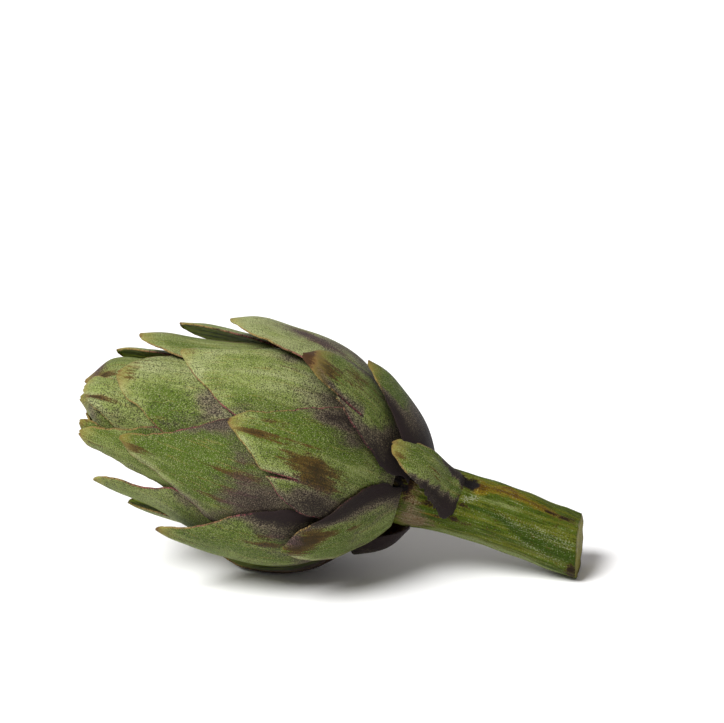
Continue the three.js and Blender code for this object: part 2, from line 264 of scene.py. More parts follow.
def makeSkin(name, look):
    # marks: values stored on the mesh
    # grains: noises over the flattened leaf, with size and length along the fibres in mm, and detail
    # fields: a mark, a grain or a number with shares of others; a grain moves it to either side
    # skins: a ground colour, then the colours laid over it: where a field passes from one value to another,
    # the greatest cover, and the colour
    material, tree = startMaterial(name)
    fields = {}
    for mark in look["marks"]:
        fields[mark] = add(tree, "ShaderNodeAttribute", {}, {"attribute_name": mark}, "Fac")
    place = add(tree, "ShaderNodeAttribute", {}, {"attribute_name": "leafPlace"}, "Vector")
    for grain, (size, length, detail) in look["grains"].items():
        squeezed = add(tree, "ShaderNodeVectorMath", {0: place, 1: (1, size / length, 1)},
                       {"operation": "MULTIPLY"})
        noise = {"Vector": squeezed, "Scale": 1 / size, "Detail": detail, "Roughness": 0.6}
        fields[grain] = add(tree, "ShaderNodeTexNoise", noise, output="Fac")
    for field, (amount, shares) in look["fields"].items():
        amount = fields.get(amount, amount)
        shift = 0
        for part, share in shares.items():
            amount = add(tree, "ShaderNodeMath", {0: fields[part], 1: share, 2: amount},
                         {"operation": "MULTIPLY_ADD"})
            shift += share / 2 if part in look["grains"] else 0
        fields[field] = add(tree, "ShaderNodeMath", {0: amount, 1: shift}, {"operation": "SUBTRACT"})
    paints = {paint: colour(code) for paint, code in look["colours"].items()}
    for skin, (ground, layers) in look["skins"].items():
        paints[skin] = paints[ground]
        for field, low, high, most, paint in layers:
            cover = add(tree, "ShaderNodeMapRange", {0: fields[field], 1: low, 2: high, 4: most},
                        {"interpolation_type": "SMOOTHSTEP"})
            paints[skin] = add(tree, "ShaderNodeMix", {0: cover, 6: paints[skin], 7: paints[paint]},
                               {"data_type": "RGBA"}, 2)
    bump = add(tree, "ShaderNodeBump", {"Height": fields["relief"], **look["bump"]})
    shader = add(tree, "ShaderNodeBsdfPrincipled",
                 {"Base Color": paints["whole"], "Normal": bump, **look["surface"]})
    add(tree, "ShaderNodeOutputMaterial", {0: shader})
    return material


# living bract skin under a fine felt of down: the down greys the green and scatters the light, dark pores
# show between it as specks, and old bracts turn purple-black at the foot and brown along dried fibres;
# its hairs are far finer than 0.3 mm, which is the finest grain that shows
bractLook = {
    "colours": {
        "leafGreen": "#4d6018", "vivid": "#455b13", "sage": "#7b8747", "bloom": "#a6aa7b", "straw": "#857538",
        "pore": "#282c12", "lilac": "#775c61", "purpleDark": "#21161c", "redFoot": "#381c1e",
        "scar": "#523316", "scarDark": "#2a190d", "marginRed": "#84404b", "marginTan": "#8c7244",
        "tip": "#6f5430", "tipDark": "#3a2617",
        "inside": "#86952a", "insideDeep": "#4a5815", "insideRed": "#5a1c1c",
    },
    "marks": ("fromTip", "edge", "tone", "purple", "dry", "scarred", "innerFace"),
    "grains": {
        "patch": (13, 24, 2), "blotch": (5.5, 10, 3), "mottle": (2.2, 4, 3), "band": (3, 38, 2),
        "fibre": (0.8, 12, 2), "pores": (0.31, 0.4, 2), "downAndGlints": (0.3, 0.45, 2),
    },
    "fields": {
        "cover": ("tone", {"patch": 1.8, "band": 1.5, "blotch": 0.5}),
        "bare": ("tone", {"patch": 2, "blotch": 1.2}),
        "torn": ("scarred", {"fibre": 2, "band": 1.4, "mottle": 1, "pores": 1.2}),
        "flush": ("purple", {"mottle": 0.55, "blotch": 0.9, "patch": 0.5}),
        "redFlush": ("flush", {"fibre": 1}),
        "specks": ("pores", {"flush": 0.13}),
        "darkSpecks": ("pores", {"flush": 0.16}),
        "rimReddens": ("fromTip", {"patch": 60}),
        "rimWards": ("edge", {"mottle": 0.7}),
        "tipWards": ("fromTip", {"mottle": 6, "fibre": 3, "dry": -4}),
        "tipSpecks": ("tipWards", {"pores": 4}),
        "relief": (0.0, {"pores": -0.7, "fibre": 0.5, "downAndGlints": 0.5, "band": 0.8}),
    },
    "skins": {
        # thin dry margin, red-brown towards the foot and tan towards the tip
        "rim": ("marginTan", [("rimReddens", 10, 26, 1, "marginRed")]),
        # the inner face is smooth and yellow-green, red deep in the gaps
        "inner": ("insideDeep", [
            ("fibre", 0.35, 0.62, 1, "inside"),
            ("purple", 0.6, 1.6, 0.8, "insideRed"),
            ("edge", 1, 0.1, 0.5, "marginTan"),
        ]),
        "whole": ("leafGreen", [
            # green skin under grey down, in faint bands along the fibres
            ("cover", 0.05, 0.7, 1, "sage"),
            ("cover", 0.6, 1.25, 0.6, "bloom"),
            ("bare", 0.15, -0.4, 0.75, "vivid"),
            ("fibre", 0.54, 0.7, 0.42, "straw"),
            ("fibre", 0.46, 0.3, 0.42, "leafGreen"),
            ("mottle", 0.52, 0.7, 0.35, "leafGreen"),
            # pale flecks of the down, partly painted glints of light on its hairs
            ("downAndGlints", 0.5, 0.64, 0.48, "bloom"),
            # dried fibres
            ("torn", 0.45, 0.95, 0.85, "scar"),
            ("torn", 1, 1.5, 0.7, "scarDark"),
            # lilac haze and the margin
            ("flush", 0.2, 0.85, 0.66, "lilac"),
            ("rimWards", 0.55, 0.05, 0.9, "rim"),
            # dark specks between the down, closing to black-purple at the foot
            ("flush", 0.85, 1.8, 0.92, "purpleDark"),
            ("redFlush", 1.3, 2.1, 0.55, "redFoot"),
            ("specks", 0.44, 0.64, 0.75, "pore"),
            ("darkSpecks", 0.56, 0.74, 0.8, "purpleDark"),
            # browned tip
            ("tipWards", 6, -2, 0.6, "straw"),
            ("tipWards", 0.6, -2.6, 0.9, "tip"),
            ("tipSpecks", -1.2, -3.2, 0.9, "tipDark"),
            ("innerFace", 0.55, 0.95, 1, "inner"),
        ]),
    },
    "bump": {"Strength": 0.7, "Distance": 0.0003},
    "surface": {
        "Roughness": 0.62, "IOR": 1.4, "Specular IOR Level": 0.1,
        "Sheen Weight": 0.03, "Sheen Roughness": 0.5,
    },
}
bractSkin = makeSkin("downy_bract_skin", bractLook)

# bracts

# the same named values as the CAD solids
head = {
    "outline": [
        (-3, 15.5), (5, 26.5), (16, 36), (29.5, 42), (44, 43.8), (59, 41.8),
        (73.5, 36.8), (87.5, 31), (101.5, 25.8), (114, 18.5), (119.5, 0),
    ],
    "heart": [
        (1, 13.4), (11.5, 19.8), (24, 24.6), (34.5, 22), (44.5, 16.5), (57, 13),
        (70, 11.5), (82.5, 10), (94.5, 8), (104.5, 5.5), (108.5, 0),
    ],
    "outlineLength": 152, "goldenAngle": 137.508, "firstTurn": 5.5, "bractCount": 32,
    "tipSpread": 5.6, "tipMiddle": 7.62, "layerPitch": 0.75, "footPitch": 0.55, "firstLayer": -2,
    "rootGap": 1.25, "lastTip": 0.962, "budTip": 0.982, "budRoot": 0.72,
}

commonBract = dict(
    turn=0, reach=0, half=18.8, tip=4.6, shoulder=36, flare=0, flareReach=18, lean=0, cup=0.7, bow=0, dip=0,
    bulge=0, torn=0, kept=0, slit=0, low=None, high=None, tone=0.5, purple=0.5, dry=0.6, lowRimHighlight=0.3,
    scars=[], flushAndShadePatches=[], greenAndShadePatches=[])
innerBract = dict(half=15, tip=3.4, purple=0.2, tone=0.6)
# low and high: half widths below and above the middle line, by distance from the tip, in mm
# scars, then the purple and green patches: from the tip, across, length, width and strength of each dried,
# purple or green patch; a few purple and green patches low on the flanks of bracts 11 and 16 are painted
# shade
bractTraits = {
    1: dict(turn=-50, reach=5, flare=0.6, flareReach=20, bow=6, dip=1, bulge=2.8, tone=0.1, purple=2, dry=0.5,
        low={0: 3, 5: 8.5, 14: 14.5, 20: 19, 26: 21, 40: 18},
        high={0: 3, 4: 7, 9: 10, 16: 14, 26: 16, 40: 15}),
    2: dict(turn=-8, reach=-18, half=21, tip=6, cup=5.5, bow=4.5, dip=0.8, bulge=1.6, tone=0, purple=2.6,
        dry=-1,
        flushAndShadePatches=[(3, 0, 12, 14, 2.2)]),
    3: dict(turn=9, reach=17.5, lean=5, flare=0.8, tone=0.4, purple=1.15, dry=1.5, torn=15, kept=7.8, slit=27,
        low={0: 2.5, 3: 4, 7: 7, 13: 9.5, 22: 12, 32: 15.5, 42: 16, 60: 12},
        high={0: 2.5, 5: 7, 13: 12, 24: 15, 32: 15.5, 40: 11, 46: 7, 60: 7},
        scars=[(4, -1, 6, 4, 1.3), (9, -3, 7, 3, 1), (20, 3, 12, 4, 0.6), (36, 6, 12, 4, 0.5)],
        flushAndShadePatches=[(1, 0, 4, 4, 1.6), (5, -5, 4, 3, 1.3), (9, -7, 5, 2, 1.4), (43, -9, 8, 5, 0.6),
            (57, 5, 8, 10, 2.4), (32, 2, 9, 9, -0.9)],
        greenAndShadePatches=[(14, 0, 8, 4, 0.5)]),
    5: dict(reach=-6, dry=-0.9, lowRimHighlight=1.2,
        low={0: 1, 2: 2.5, 7: 5.5, 14: 10, 24: 16, 36: 18, 48: 15},
        high={0: 3, 2.5: 9, 7.5: 12, 13.5: 14.5, 20: 18.5, 26.5: 20.5, 38.5: 20, 48: 17},
        scars=[(6, 4, 7, 6, 1.6), (14, 7, 6, 3, 0.9), (26, 6, 5, 3, 0.8), (33, -8, 8, 2, 0.6)],
        flushAndShadePatches=[(2, 6, 5, 5, 1.4), (10, 14, 12, 3, 2.4), (24, 17, 9, 5, 1.8), (36, 17, 9, 5, 1.8),
            (46, 14, 5, 6, 1.2), (43, -3, 9, 9, -0.9)],
        greenAndShadePatches=[(18, -2, 12, 5, 0.7)]),
    6: dict(turn=-15, reach=26, flare=4.4, flareReach=30, bulge=1.2, tone=1.25, purple=0.35, dry=0.2,
        low={0: 2.5, 2.5: 5, 5: 8, 10: 12, 20: 15, 34: 18, 60: 17, 80: 14},
        high={0: 2.5, 2.5: 5, 8: 10, 16: 14, 30: 18, 60: 18, 80: 14},
        scars=[(48, 4, 9, 3, 0.6), (25, -1, 8, 3, 1), (34, -5, 8, 3, 1.15), (44, 10, 8, 3, 0.8)],
        flushAndShadePatches=[(25, -2, 8, 4, 0.9), (34, -5, 9, 5, 1), (37, 17, 6, 4, 0.8), (42, 13, 7, 5, 0.8),
            (41, 1, 8, 4, 0.9), (46, 6, 8, 5, 0.5), (72, 4, 12, 18, 2.4)]),
    7: dict(turn=20, reach=2, half=17.1, tip=3.2, flare=2.5, flareReach=40, tone=0.1, purple=2.2, dry=0.2,
        bulge=1.2),
    8: dict(turn=6, reach=4, cup=0.1, tone=0.45, purple=0.45, dry=0.5, lowRimHighlight=0.7, torn=17.5, kept=13.5,
        slit=29,
        low={0: 1.8, 2: 2.6, 6.5: 6, 13: 11, 17.5: 14.5, 23: 20, 27.5: 23.5, 34.5: 25, 50: 22, 70: 17},
        high={0: 1.8, 3: 3.5, 8: 5.2, 13.5: 7, 24.5: 11, 30.5: 13.5, 40: 18, 52: 19, 70: 15},
        scars=[(31, -5.5, 12, 1.5, 1), (33, -8, 13, 2, 1.3), (35, -11.5, 11, 1.8, 1.3),
            (37, -14, 9, 2.5, 0.9), (9, -2, 11, 1.6, 1.2), (24, -1.5, 13, 1.8, 0.7), (14, 3, 8, 1.1, 0.8)],
        flushAndShadePatches=[(28, -20, 7, 4, 0.7), (38, -20, 10, 5, 1.7), (33, 10, 7, 3, 0.9), (38, 11, 7, 3, 1),
            (44, 13, 8, 4, 0.9), (45, 4, 6, 4, 1), (52, 10, 8, 6, 0.4), (50, -2, 9, 6, -1.2)],
        greenAndShadePatches=[(18, 6, 10, 4, 0.5), (34, 6, 9, 5, 0.4)]),
    9: dict(purple=0.6),
    10: dict(turn=12, reach=5, flare=4.6, flareReach=34, tone=0.4, purple=0.78, lowRimHighlight=0.8,
        low={0: 2.2, 3: 4, 10: 8, 20: 14, 34: 19, 60: 18, 80: 14},
        high={0: 2.6, 1.5: 4.6, 6: 6.8, 14.5: 13, 20.5: 19, 26.5: 24, 34: 27, 42: 28.5, 50: 27, 62: 21,
            80: 15},
        scars=[(38, 17, 7, 1.8, 1.1), (39, 12.5, 8, 2, 1.1), (42, 7, 8, 1.6, 0.8), (30, -3, 8, 3, 0.6)],
        flushAndShadePatches=[(36, 28, 9, 5, 2), (48, 27, 9, 5, 2.2), (38, 19, 9, 5, 0.9), (55, 10, 9, 9, 0.5)],
        greenAndShadePatches=[(20, 8, 12, 6, 0.7)]),
    11: dict(turn=-3, reach=9, tone=0.95, purple=0.3, dry=0.3, cup=1.2,
        low={0: 2.6, 2.5: 6, 7.5: 11.5, 15.5: 18.5, 23: 25, 30: 28.5, 45: 29, 82: 20},
        high={0: 2.4, 2: 3.8, 4.5: 4.6, 7.5: 3.4, 17: 2.8, 22.5: 4.2, 30: 8, 37: 12, 50: 17, 82: 16},
        scars=[(4, 1, 4, 4, 0.7), (38, -6, 14, 3, 0.35), (22, 4, 7, 2, 0.9), (18, 6, 7, 2, 0.8),
            (27, 10, 7, 2.5, 0.9), (36, 9, 7, 2.5, 0.8)],
        # the purple and green patches low on the flank, about 14 to 24 mm below the middle, are partly real
        # flush and partly painted shade where the bract turns down from the light
        flushAndShadePatches=[(49, 7, 7, 7, 0.5), (44, -5, 10, 7, 0.2), (46, -16, 9, 5, 0.4), (39, 2, 7, 4, 1),
            (58, -11, 9, 5, 0.8), (41, 9, 5, 3, 0.5), (28, -24, 10, 4, 0.35)],
        greenAndShadePatches=[(15, -14, 8, 5, 0.5), (26, -8, 8, 5, 0.3), (28, -22, 14, 6, 1.6)]),
    12: dict(purple=0.6),
    13: dict(turn=10, reach=10, tone=0.05, purple=0.8, dry=0.35, lowRimHighlight=1.1,
        low={0: 1.8, 2.5: 3.7, 5.5: 5.7, 11.5: 7.6, 18: 9.6, 21: 10.6, 26.5: 13.5, 31: 16, 38: 21, 60: 20,
            88: 14},
        high={0: 2, 3: 2.4, 10.5: 4.8, 16: 7.2, 22: 10.2, 27.5: 14.2, 34: 19, 40: 21.5, 60: 21, 88: 14},
        scars=[(5, -2.2, 7, 2.2, 1.2), (30, 2, 8, 2, 0.4), (45, 1.5, 13, 1.6, 1), (47, -5, 12, 1.4, 0.9),
            (40, -9, 10, 1.5, 0.8), (50, 7, 9, 1.5, 0.7), (50, 1, 10, 6, 0.6)],
        flushAndShadePatches=[(35, 16, 8, 5, 0.8), (46, -3, 12, 6, 0.45), (54, -8, 8, 7, 1.2), (44, 8, 9, 6, 0.4),
            (43, -14, 9, 5, 0.3), (33, -6, 9, 5, 0.25)],
        greenAndShadePatches=[(26, 5, 12, 5, 0.7), (14, 1, 8, 4, 0.5), (38, -2, 13, 8, 0.6)]),
    14: dict(turn=-8, reach=-5, flare=7, flareReach=50, half=17, tone=0.6, purple=0.35),
    15: dict(turn=37, reach=6.5, flare=2, flareReach=34, tone=0.55, purple=0.45, dry=0.2, lowRimHighlight=1,
        low={0: 3.6, 3: 6, 14: 12, 24: 17, 40: 20, 89: 14},
        high={0: 3.6, 1.5: 5.6, 9: 8.8, 17: 9.6, 21.5: 12.8, 27: 17.8, 40: 20, 89: 14},
        flushAndShadePatches=[(29, 17, 8, 4, 0.2), (36, 12, 9, 7, 0.6)]),
    16: dict(turn=6, reach=4, tone=0.85, purple=0.3, dry=0.4,
        low={0: 4.2, 3.5: 7, 10: 10.5, 16.5: 15, 22.5: 19, 36: 23, 90: 14},
        high={0: 4.2, 2: 6, 8: 10, 18: 15, 36: 20, 90: 14},
        scars=[(5, 1, 4, 4, 0.9)],
        # the purple and green patches low on the flank, about 11 to 15 mm below the middle, are partly real
        # flush and partly painted shade where the bract turns down from the light
        flushAndShadePatches=[(34, -4, 6, 6, 0.8), (39, -8, 7, 6, 0.8), (26, 1, 5, 5, 0.3), (30, -15, 8, 4, 0.4),
            (23, -15, 9, 5, 0.45)],
        greenAndShadePatches=[(33, -11, 3, 2, 1), (22, -12, 10, 8, 1.9)]),
    17: dict(purple=0.4),
    18: dict(turn=28, reach=5, flare=1, purple=0.25, dry=0.3,
        low={0: 3, 3: 4, 9: 5, 16.5: 6.5, 25: 8, 31: 8.8, 38: 12, 50: 15, 90: 14},
        high={0: 3, 2: 4, 8: 5.5, 18: 9, 23: 11.5, 28.5: 14, 40: 18, 90: 14},
        scars=[(6, -1, 5, 3, 0.5)],
        flushAndShadePatches=[(24, 11, 8, 3, 0.6), (22, -2, 8, 6, 0.3)]),
    19: dict(turn=-2, reach=-10.5, flare=6, flareReach=45, bulge=3, tone=0.6, dry=0.5, purple=0.3,
        scars=[(30, 6, 8, 3, 0.8), (38, 2.5, 7, 3, 0.8)]),
    20: dict(turn=45, reach=-25, half=17, tip=6.5, flare=8, flareReach=48, tone=0.6, dry=0.3),
    21: dict(turn=21, reach=3.8, lean=6, tone=0.8, purple=0.2, dry=0.2, lowRimHighlight=0.6,
        low={0: 3.2, 3: 4.4, 7: 6.4, 12: 8.6, 20: 12, 36: 16, 90: 13},
        high={0: 4.4, 2: 5.2, 8: 4.6, 15: 5.2, 30: 11, 44: 15, 90: 13},
        scars=[(8, -3.2, 12, 0.9, 1.4), (20, -6, 8, 1.2, 0.5)],
        flushAndShadePatches=[(12, -8, 10, 3, 0.7), (22, -3, 8, 8, 0.5)],
        greenAndShadePatches=[(9, 3, 7, 4, 0.4)]),
    22: dict(turn=-22, reach=-7.4, half=17, tip=5, flare=2.4, flareReach=40, bulge=1.4, tone=0.6, dry=0.5,
        purple=0.3),
    23: dict(turn=66, reach=-4, half=13, flare=2.5, flareReach=14, tone=0.1, dry=0,
        high={0: 2.2, 2.5: 2.6, 6: 1.6, 10: 1, 16: 1, 30: 7, 88: 10},
        scars=[(1, 1, 2, 3, 1)]),
    24: dict(turn=14, reach=1.5, flare=0.4, flareReach=24, tip=5.6, half=17.5, tone=0.55, dry=0.5,
        low={0: 2.6, 3: 3.2, 10.5: 8.2, 14: 9.4, 24: 13, 40: 17, 90: 13},
        scars=[(5, 0, 7, 5, 1), (10, -5, 6, 2, 1), (6, 3, 4, 2, 0.8)],
        flushAndShadePatches=[(6, 0, 6, 5, 0.9)]),
    26: dict(turn=16, lean=24, flare=1.2, tip=5, tone=0.4, dry=0.3,
        low={0: 1.6, 2: 2.6, 5.5: 3.8, 11: 4.6, 16: 5.6, 30: 11, 93: 11},
        flushAndShadePatches=[(8, 0, 8, 5, 0.9)]),
}
# thicknesses, edge and surface waves of every leaf, in mm
bladeMake = {
    "rows": 60, "columns": 37, "tipCrowding": 1.3, "edgeCrowding": 0.85, "firstInner": 25, "innerThin": 0.75,
    "middle": 1.5, "foot": 1.0, "margin": 0.55, "tip": 0.65, "rib": 0.25, "ribWidth": 1.6,
    "uneven": [(23, 0.3), (9, 0.2), (4.3, 0.12), (1.7, 0.06)],
    # height, length across, length along, phase
    "ripples": [(0.168, 5.1, 9, 1), (0.12, 3.1, -6.3, 2.1)],
    "corner": 1.1, "notch": (0.3, 1.1), "notchWidth": 0.22, "tipReach": 7, "widestWrap": 75,
    "climb": 0.62, "flankClimb": 0.25, "flankWidth": 8, "footPurple": 1.35, "flankPurple": 0.5,
    "drawnScars": 3,
    "slitShare": 0.24, "slitGap": 0.3, "flapOff": 1.3, "flapLift": 1.1, "flapLeast": 1.5,
}


def outermostLayer(place):
    t = np.clip(place, 0.001, 0.999)
    number = head["tipSpread"] * np.log(t / (1 - t)) + head["tipMiddle"]
    first = head["firstLayer"]
    return first + 1.5 * np.log(1 + np.exp((number - first) / 1.5))


def spinePoint(number, place):
    skin, heart = alongCurve(head["outline"], place), alongCurve(head["heart"], place)
    room = np.linalg.norm(skin - heart, axis=-1)
    pitch = between(head["footPitch"], head["layerPitch"], smooth((place - 0.04) / 0.12))
    depth = np.maximum(pitch * (number - outermostLayer(place)), -1.5)
    return between(skin, heart, (depth / room)[..., None]), room, depth


def outwardAt(place):
    before = alongCurve(head["outline"], np.maximum(place - 0.001, 0))
    after = alongCurve(head["outline"], np.minimum(place + 0.001, 1))
    return unit(np.stack([before[..., 1] - after[..., 1], after[..., 0] - before[..., 0]], axis=-1))


def spineTable(number, traits):
    # the bract's middle line from tip to root: distance from the tip, place on the head, outward way
    inBud = number > head["bractCount"]
    tipAt = 1 / (1 + math.exp(-(number - head["tipMiddle"]) / head["tipSpread"]))
    last = min(head["budTip" if inBud else "lastTip"], tipAt + traits["reach"] / head["outlineLength"])
    lowest = head["budRoot"] if inBud else 0
    tries = np.arange(last, lowest, -0.002)
    _, room, depth = spinePoint(number, tries)
    buried = np.nonzero(depth > room - head["rootGap"])[0]
    root = tries[buried[0]] if len(buried) else lowest
    places = np.linspace(root, last, 240)
    points = spinePoint(number, places)[0]
    steps = np.linalg.norm(np.diff(points, axis=0), axis=1)
    fromRoot = np.concatenate([[0], np.cumsum(steps)])
    run = fromRoot[-1]
    fromTip = run - fromRoot
    out = outwardAt(places)
    lift = traits["flare"] * smooth((traits["flareReach"] - fromTip) / traits["flareReach"]) ** 1.5
    lift += traits["bulge"] * np.sin(math.pi * np.clip(fromTip / run, 0, 1)) ** 1.2
    points = points + out * lift[:, None]
    # the lowest leaves bow along the stem, most at the root
    points[:, 0] -= traits["bow"] * (1 - smooth(fromRoot / 26))
    points[:, 1] -= traits["dip"] * (1 - smooth(fromRoot / 9))
    return run, fromTip[::-1], points[::-1], out[::-1]


def bractHalf(traits, fromTip, run, side, draw):
    # half width of one side: blunt tip, full middle, narrower foot, and a slightly uneven edge
    halves = traits["low"] if side < 0 else traits["high"]
    fromRoot = run - fromTip
    if halves:
        # the corners between the given widths are rounded off
        fine = np.linspace(-3, 95, 400)
        line = valueAt(fine, halves)
        spreading = np.exp(-0.5 * (np.arange(-12, 13) / 5.0) ** 2)
        line = np.convolve(np.pad(line, 12, "edge"), spreading / spreading.sum(), "valid")
        width = np.interp(fromTip, fine, line) * (1 - np.exp(-(fromTip + 0.7)))
        foot = 1 - 0.3 * (1 - smooth(fromRoot / 14))
    else:
        blunt = traits["tip"] * (1 - np.exp(-(fromTip + 0.7) / 1.2))
        grown = 1 - (1 - np.clip(fromTip / traits["shoulder"], 0, 1)) ** 1.4
        width = blunt + (traits["half"] - traits["tip"]) * grown
        foot = 1 - 0.4 * (1 - smooth(fromRoot / np.clip(run - 18, 18, 45)))
    return (width + wander(draw, fromTip, bladeMake["uneven"]) * smooth(fromTip / 8)) * foot


def bladeGrid(traits, run, draw):
    # rows from tip to foot and columns from the low to the high margin, with the place of each crossing:
    # mm from the tip, across, to the edge and off the spine, the share across, and the faces between them
    make = bladeMake
    rows, columns = make["rows"], make["columns"]
    rowTip = run * (1 - np.linspace(0, 1, rows)) ** make["tipCrowding"]
    share = np.linspace(-1, 1, columns)
    share = np.sign(share) * np.abs(share) ** make["edgeCrowding"]
    low, high = (bractHalf(traits, rowTip, run, side, draw) for side in (-1, 1))
    half = np.where(share < 0, low[:, None], high[:, None])
    lateral = half * share
    edge = half - np.abs(lateral)
    lifted = np.zeros((rows, columns))

    # tip outline: rounded corners and a small notch
    corner = make["corner"] * np.abs(share) ** 2.5
    corner += draw.uniform(*make["notch"]) * bell(share, make["notchWidth"])
    fromTip = rowTip[:, None] + corner * smooth(1 - rowTip[:, None] / make["tipReach"])

    index = np.arange(rows * columns).reshape(rows, columns)
    faces = gridFaces(index)
    grid = [fromTip, lateral, edge, lifted, np.tile(share, (rows, 1))]
    if not traits["torn"]:
        return [values.ravel() for values in grid], faces.reshape(-1, 4)

    # a margin torn along the fibre: the blade narrows above the tear and a flap stands off it, with its own
    # copy of the column along the slit
    slit, middle = int(columns * make["slitShare"]), columns // 2
    parted = rowTip < traits["slit"]
    opened = np.clip((traits["slit"] - rowTip) / (traits["slit"] - traits["torn"]), 0, 1)
    kept = np.minimum(traits["kept"], np.where(parted, low, low * 0.9))
    flapStart = kept + make["slitGap"] * (opened > 0) + make["flapOff"] * opened
    flapEnd = np.maximum(np.maximum(low, traits["kept"] + make["flapLeast"]), flapStart + 0.4)
    flap = -(flapStart[:, None] + (flapEnd - flapStart)[:, None] * np.linspace(1, 0, slit + 1))
    flapLift = make["flapLift"] * opened**1.2
    inner = slice(slit, middle + 1)
    lateral[:, inner] = -kept[:, None] * np.linspace(1, 0, middle - slit + 1)
    lateral[:, :slit] = flap[:, :slit]
    edge[:, :slit] = np.abs(flap[:, :1]) - np.abs(flap[:, :slit])
    edge[:, inner] = np.where(parted[:, None], kept[:, None] - np.abs(lateral[:, inner]), edge[:, inner])
    lifted[:, :slit] = flapLift[:, None]
    copied = [rowTip, flap[:, slit], np.where(parted, 0, edge[:, slit]), flapLift, np.full(rows, share[slit])]
    index[parted, slit] = rows * columns + np.nonzero(parted)[0]
    faces[:, :slit] = gridFaces(index)[:, :slit]
    faces = faces[(rowTip[1:, None] >= traits["torn"]) | (np.arange(columns - 1) >= slit)]
    return [np.concatenate([values.ravel(), copy]) for values, copy in zip(grid, copied)], faces


def bractBlade(name, number, material):
    make = bladeMake
    inner = number >= make["firstInner"]
    traits = {**commonBract, **(innerBract if inner else {}), **bractTraits.get(number, {})}
    draw = np.random.default_rng(900 + number)
    run, tableTip, tablePoints, tableOut = spineTable(number, traits)
    grid, faces = bladeGrid(traits, run, draw)
    used, faces = np.unique(faces, return_inverse=True)
    faces = faces.reshape(-1, 4)
    fromTip, across, edge, lifted, share = (values[used] for values in grid)
    edge = np.maximum(edge, 0)

    # the spine, then the waves, the cup and the rib that lift the leaf off it
    order = np.clip(fromTip, 0, run)
    along, radius, outAlong, outRound = (
        np.interp(order, tableTip, column) for column in (*tablePoints.T, *tableOut.T))
    ripple = sum(height * np.sin(across / wide + order / far + phase * number)
                 for height, wide, far, phase in make["ripples"])
    ripple *= smooth(order / 12) * smooth((run - order) / 10)
    cup = traits["cup"] * share**2 * smooth((run - order + 1) / 12)
    rib = make["rib"] * bell(across, make["ribWidth"]) * smooth((26 - order) / 20)
    offset = lifted - cup + ripple + rib
    turn = head["firstTurn"] + head["goldenAngle"] * number + traits["turn"]
    turn = (turn + traits["lean"] * smooth((25 - order) / 25)) * degree
    widest = make["widestWrap"] * degree
    turn += np.clip(across / np.maximum(radius, 1), -widest, widest)
    along += outAlong * offset
    radius = np.maximum(radius + outRound * offset, 0.5)
    points = headPoint(along, radius, turn)
    outside = headPoint(along + 5 * outAlong, radius + 5 * np.maximum(outRound, 0.2), turn) - points

    # the flush climbs from the foot, further along the two flanks than along the middle
    tipMm = np.maximum(fromTip, 0)
    fromRoot = run - tipMm
    flank = np.clip(1 - edge / make["flankWidth"], 0, 1) ** 1.5
    climb = np.clip(1 - fromRoot / (run * (make["climb"] + make["flankClimb"] * flank)), 0, 1)
    flankPurple = make["flankPurple"] * flank * np.clip(climb * 4 + 0.35, 0, 1)
    purple = traits["purple"] * (make["footPurple"] * climb + flankPurple)
    tone = traits["tone"] + draw.uniform(-0.1, 0.1)
    scars, flushAndShadePatches = list(traits["scars"]), list(traits["flushAndShadePatches"])
    for _ in range(make["drawnScars"]):
        scars.append((draw.uniform(2, 3 + run * 0.6), draw.uniform(-0.7, 0.7) * traits["half"],
                      draw.uniform(3, 9), draw.uniform(0.6, 2.0), draw.uniform(0.3, 0.6)))
    if not flushAndShadePatches:
        for spot, side in ((0.45, -0.8), (0.5, 0.8)):
            flushAndShadePatches.append((run * spot, side * traits["half"], 16, 6, draw.uniform(0.4, 0.7)))
    # a painted highlight along the low margin, for the sheen of the down and the light bounced up off the
    # floor
    lowRimHighlight = traits["lowRimHighlight"] * bell(edge - 1, 2.2) * smooth(-across / 2)
    # the purple and green patches feed the purple and tone marks; those low on bracts 11 and 16 are painted
    # shade
    marks = {
        "leafPlace": leafPlace(across, tipMm, 17.0 * number), "fromTip": fromTip, "edge": edge,
        "tone": tone + lowRimHighlight - 0.7 * patchSum(tipMm, across, traits["greenAndShadePatches"]),
        "purple": purple + 0.6 * patchSum(tipMm, across, flushAndShadePatches),
        "scarred": patchSum(tipMm, across, scars), "dry": traits["dry"],
    }

    # thickest along the middle, thin at the margins and the tip
    sideOf = np.clip(np.abs(across) / np.maximum(np.abs(across) + edge, 1), 0, 1)
    thick = between(make["foot"], make["middle"], smooth((fromRoot - 4) / 14))
    thick = between(make["margin"], thick, 1 - sideOf**2)
    thick = between(make["tip"], thick, smooth((tipMm + 1) / 12))
    thick = thick * (make["innerThin"] if inner else 1)
    return makeBlade(name, points, faces, outside, thick, marks, material)


for number in range(1, head["bractCount"] + 1):
    piece = bractBlade(f"bract_skin_{number:02d}", number, bractSkin)
    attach(piece, "root")
    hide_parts(f"bract_{number:02d}")
print("bracts made")

# bud

budMake = {"lastBract": 38, "coreLayer": 37.5, "coreFrom": 0.41, "coreTo": 0.988, "rings": 40, "around": 64}


